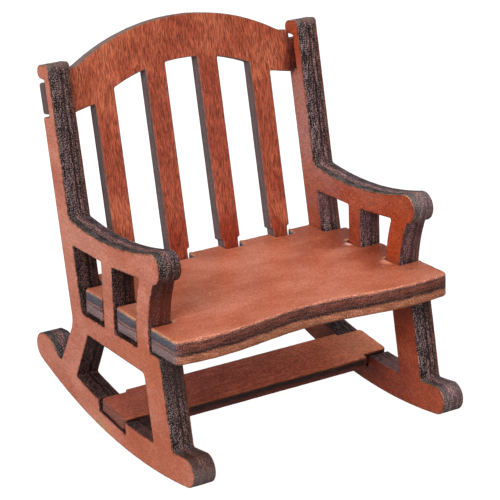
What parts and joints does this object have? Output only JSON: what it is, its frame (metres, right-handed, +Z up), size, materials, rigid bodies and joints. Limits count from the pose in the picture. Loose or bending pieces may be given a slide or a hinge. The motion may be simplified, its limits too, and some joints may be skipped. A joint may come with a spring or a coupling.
{
  "type": "miniature rocking chair",
  "caption": "Slot-together plywood rocking chair for a dolls' house: slatted back, scrolled arms, wavy-fronted seat board, a board between the curved rockers.",
  "frame": {"origin": "middle of the bounding box's bottom, on the floor that the rockers touch when the chair rests in balance", "axes": "+X towards the side that is on the right of someone who faces the chair's front, +Y from the chair's front to its back, +Z up"},
  "size_m": [0.0666, 0.0702, 0.0776],
  "materials": {
    "side_panel_left": "salmon-red stain on laser-cut plywood, charred cut edges",
    "side_panel_right": "salmon-red stain on laser-cut plywood, charred cut edges",
    "back_panel": "red-brown stain on thin laser-cut plywood with fine dark pores",
    "seat_board": "satin red-brown stain on laser-cut plywood, charred wavy front edge",
    "stretcher": "dark red-brown stain on thin laser-cut plywood"
  },
  "bodies": {
    "root": {"side_panel_left": "side_panel_left", "side_panel_right": "side_panel_right", "back_panel": "back_panel", "seat_board": "seat_board", "stretcher": "stretcher"}
  },
  "joints": []
}
